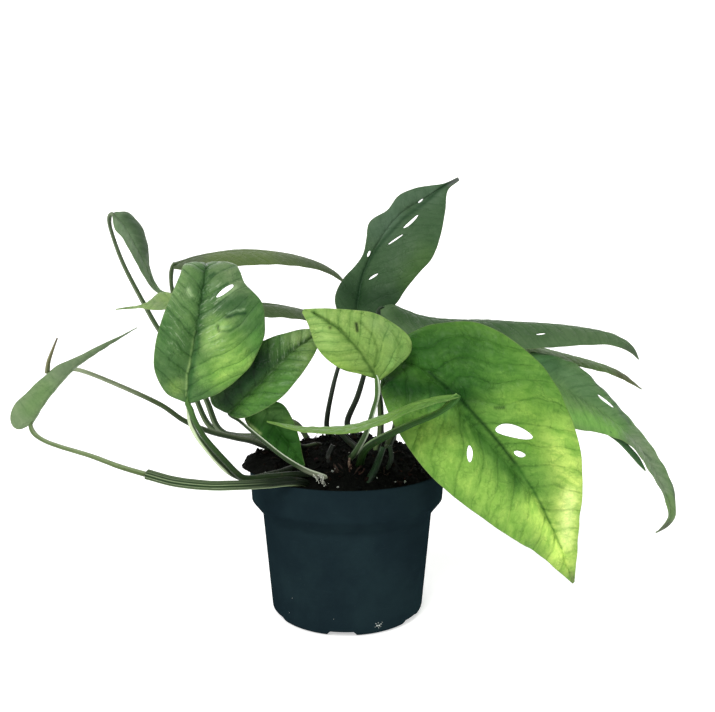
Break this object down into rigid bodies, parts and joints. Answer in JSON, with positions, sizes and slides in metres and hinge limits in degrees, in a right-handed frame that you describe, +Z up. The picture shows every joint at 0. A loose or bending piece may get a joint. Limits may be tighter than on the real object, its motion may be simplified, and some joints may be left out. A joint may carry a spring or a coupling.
{
  "type": "potted philodendron",
  "caption": "Leafy climbing aroid in a round dark plastic nursery pot, with leaves on long arching stalks and a stem that trails over the rim.",
  "frame": {"origin": "middle of the pot's flat underside", "axes": "+Z up; -Y towards the picture's viewer; +X to that viewer's right, along the plant's widest spread"},
  "size_m": [0.4071, 0.2028, 0.2805],
  "materials": {
    "pot_plastic": "thin moulded nursery plastic, blue-black, dull with a faint sheen",
    "potting_mix": "moist composted bark and peat, near black, with white perlite grains",
    "leaf_mottled": "leathery mid green blade, paler yellow-green patches, sunken veins, waxy sheen",
    "leaf_dark": "leathery deep green blade with a waxy sheen",
    "leaf_olive": "olive green blade, duller and greyer than the front ones",
    "leaf_young": "young yellow-green blade with a network of darker veins",
    "stalk_green": "ridged green stem with pale lines",
    "stalk_pale": "pale green stalk, almost white where it dries",
    "stalk_dark": "dark green stalk with a narrow glare",
    "old_sheath": "dry grey-green leaf sheath",
    "new_growth": "rolled new leaf, purple-brown"
  },
  "bodies": {
    "root": {"pot": "pot_plastic", "potting_mix": "potting_mix", "left_front_leaf": "leaf_mottled", "left_upright_leaf": "leaf_dark", "back_left_leaf": "leaf_olive", "small_left_leaf": "leaf_young", "far_left_leaf": "leaf_olive", "back_middle_leaf": "leaf_olive", "centre_left_leaf": "leaf_mottled", "low_inner_leaf": "leaf_dark", "pale_centre_leaf": "leaf_young", "cross_front_leaf": "leaf_young", "big_front_leaf": "leaf_mottled", "tall_back_leaf": "leaf_dark", "right_upper_leaf": "leaf_olive", "right_middle_leaf": "leaf_olive", "right_drooping_leaf": "leaf_olive", "left_front_stalk": "stalk_dark", "left_upright_stalk": "stalk_dark", "back_left_stalk": "stalk_dark", "small_left_stalk": "stalk_green", "far_left_stalk": "stalk_green", "back_middle_stalk": "stalk_dark", "centre_left_stalk": "stalk_pale", "low_inner_stalk": "stalk_dark", "pale_centre_stalk": "stalk_dark", "cross_front_stalk": "stalk_dark", "big_front_stalk": "stalk_pale", "tall_back_stalk": "stalk_dark", "right_upper_stalk": "stalk_dark", "right_middle_stalk": "stalk_dark", "right_drooping_stalk": "stalk_dark", "left_sheath_stem": "stalk_green", "rolled_new_stalk": "stalk_green", "rolled_new_leaf": "new_growth", "old_stub_left": "old_sheath", "old_stub_middle": "old_sheath", "old_stub_right": "old_sheath", "old_sheath": "stalk_dark"}
  },
  "joints": []
}
